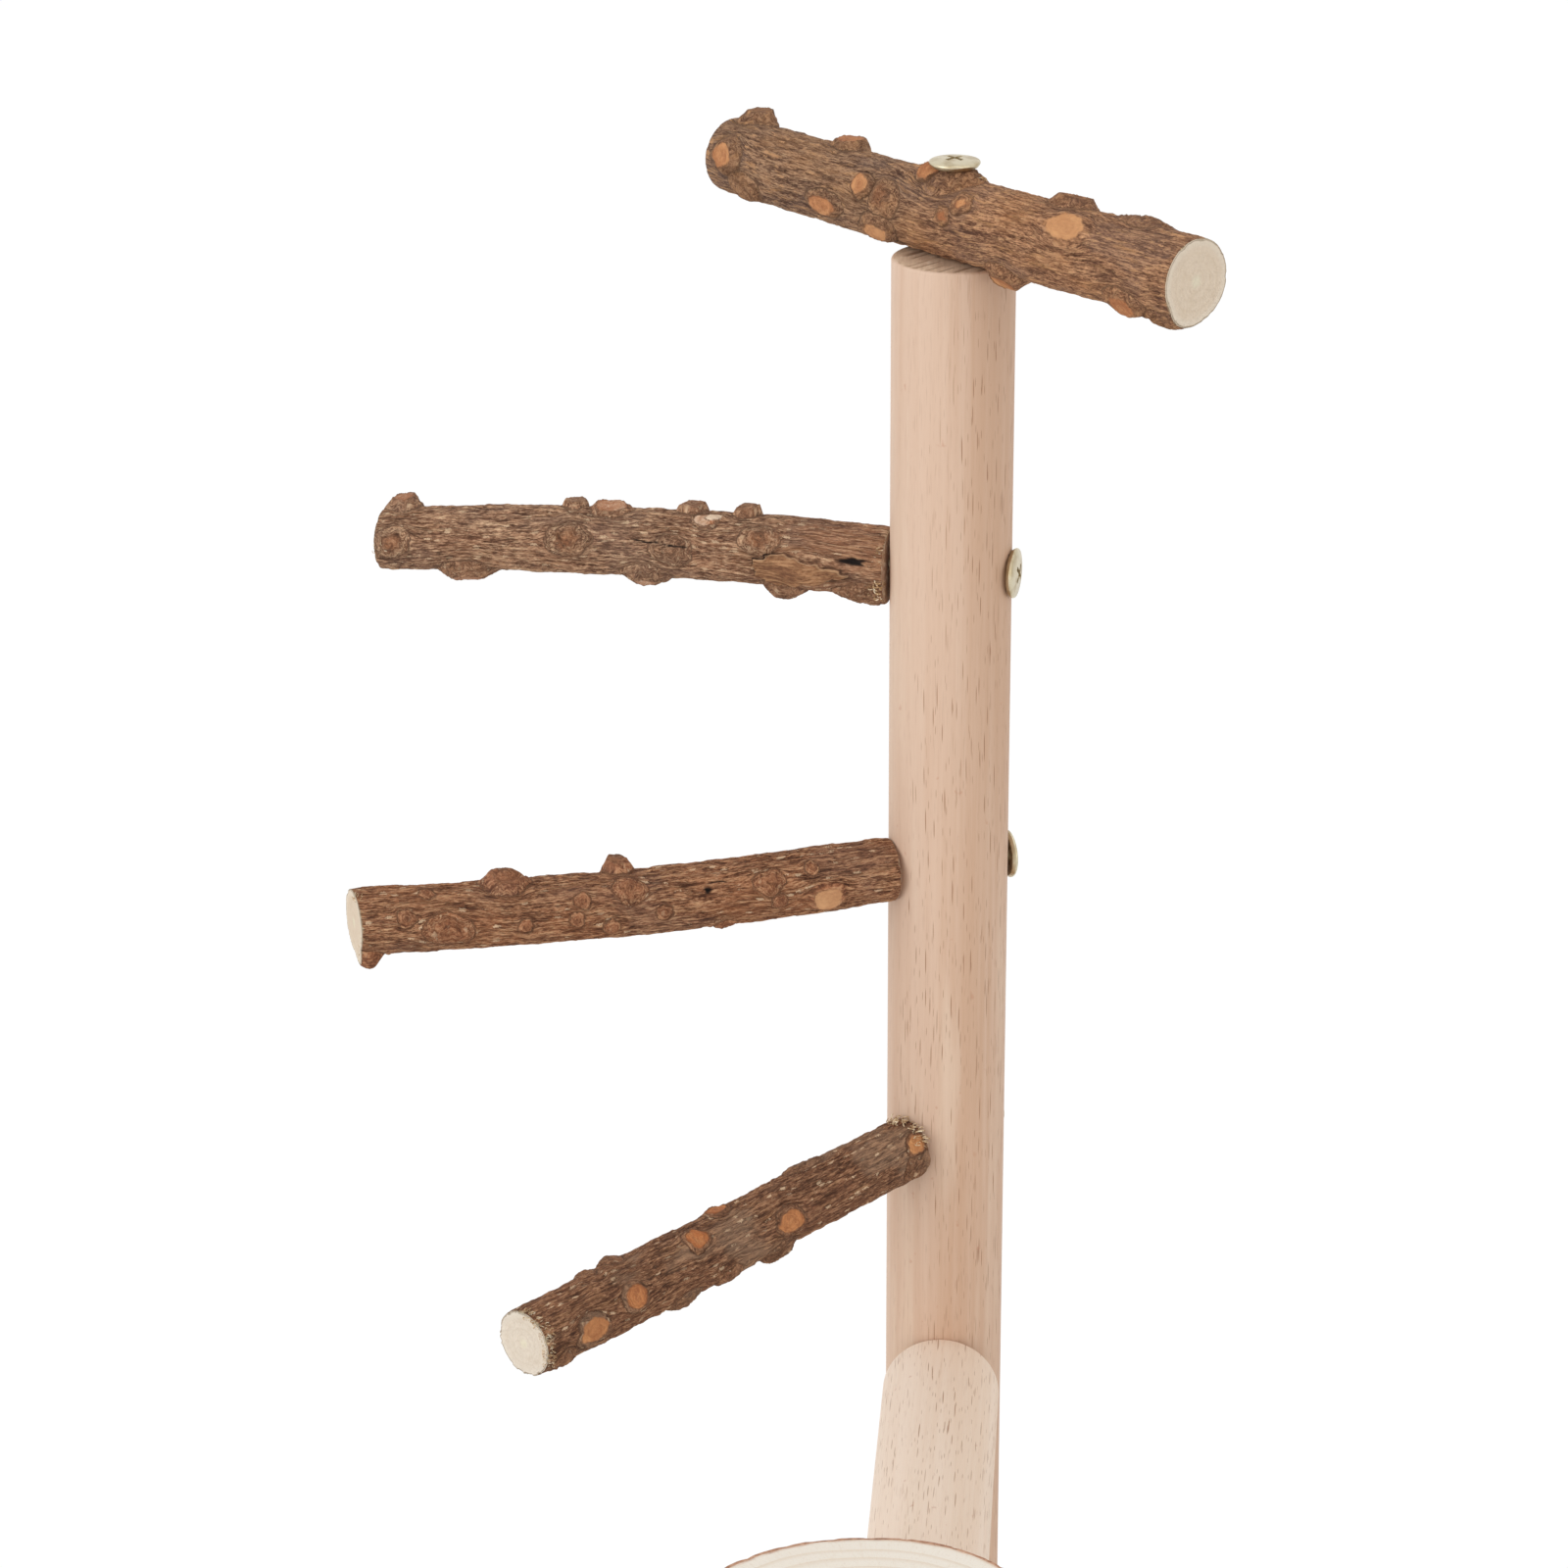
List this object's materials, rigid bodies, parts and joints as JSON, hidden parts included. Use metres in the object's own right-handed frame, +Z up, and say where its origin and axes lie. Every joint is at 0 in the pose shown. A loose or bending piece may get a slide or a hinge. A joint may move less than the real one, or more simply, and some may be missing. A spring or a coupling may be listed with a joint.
{
  "type": "bird perch",
  "caption": "Tabletop bird stand: round post on a log-slice base, knobby branch perches screwed to it, and a small log-slice platform on an arm.",
  "frame": {"origin": "on the underside of the base, straight below the middle of the post", "axes": "+Z up along the post; the platform's arm points along -Y; the side perches fan out on the -X side"},
  "size_m": [0.2723, 0.3463, 0.5304],
  "materials": {
    "beech": "sanded bare beech with short dark flecks",
    "branch_bark": "rough striped bark with sawn-off thorn knots, pale end grain",
    "log_slice": "sanded pale end grain with growth rings, thin reddish bark round the rim",
    "screw_plating": "yellowish zinc plating, satin"
  },
  "bodies": {
    "stand": {"base": "log_slice", "base_screws": "screw_plating", "post": "beech", "top_perch_screw": "screw_plating", "platform_arm": "beech", "platform_arm_screw": "screw_plating", "platform_screw": "screw_plating"},
    "top_perch": {"top_perch": "branch_bark"},
    "upper_perch": {"upper_perch": "branch_bark", "upper_perch_screw": "screw_plating"},
    "middle_perch": {"middle_perch": "branch_bark", "middle_perch_screw": "screw_plating"},
    "lower_perch": {"lower_perch": "branch_bark", "lower_perch_screw": "screw_plating"},
    "platform": {"platform": "log_slice"}
  },
  "joints": [
    {"name": "top_perch_swivel", "type": "hinge", "parent": "stand", "child": "top_perch", "pos_m": [0, 0, 0.502], "axis": [0, 0, 1], "continuous": true},
    {"name": "upper_perch_turn", "type": "hinge", "parent": "stand", "child": "upper_perch", "pos_m": [0, 0, 0.4105], "axis": [-0.9781, 0.2079, 0], "continuous": true},
    {"name": "middle_perch_turn", "type": "hinge", "parent": "stand", "child": "middle_perch", "pos_m": [0, 0, 0.3195], "axis": [-0.9205, -0.3907, 0], "continuous": true},
    {"name": "lower_perch_turn", "type": "hinge", "parent": "stand", "child": "lower_perch", "pos_m": [0, 0, 0.233], "axis": [-0.6157, -0.788, 0], "continuous": true},
    {"name": "platform_turn", "type": "hinge", "parent": "stand", "child": "platform", "pos_m": [0, -0.209, 0.171], "axis": [0, 0, 1], "continuous": true}
  ]
}
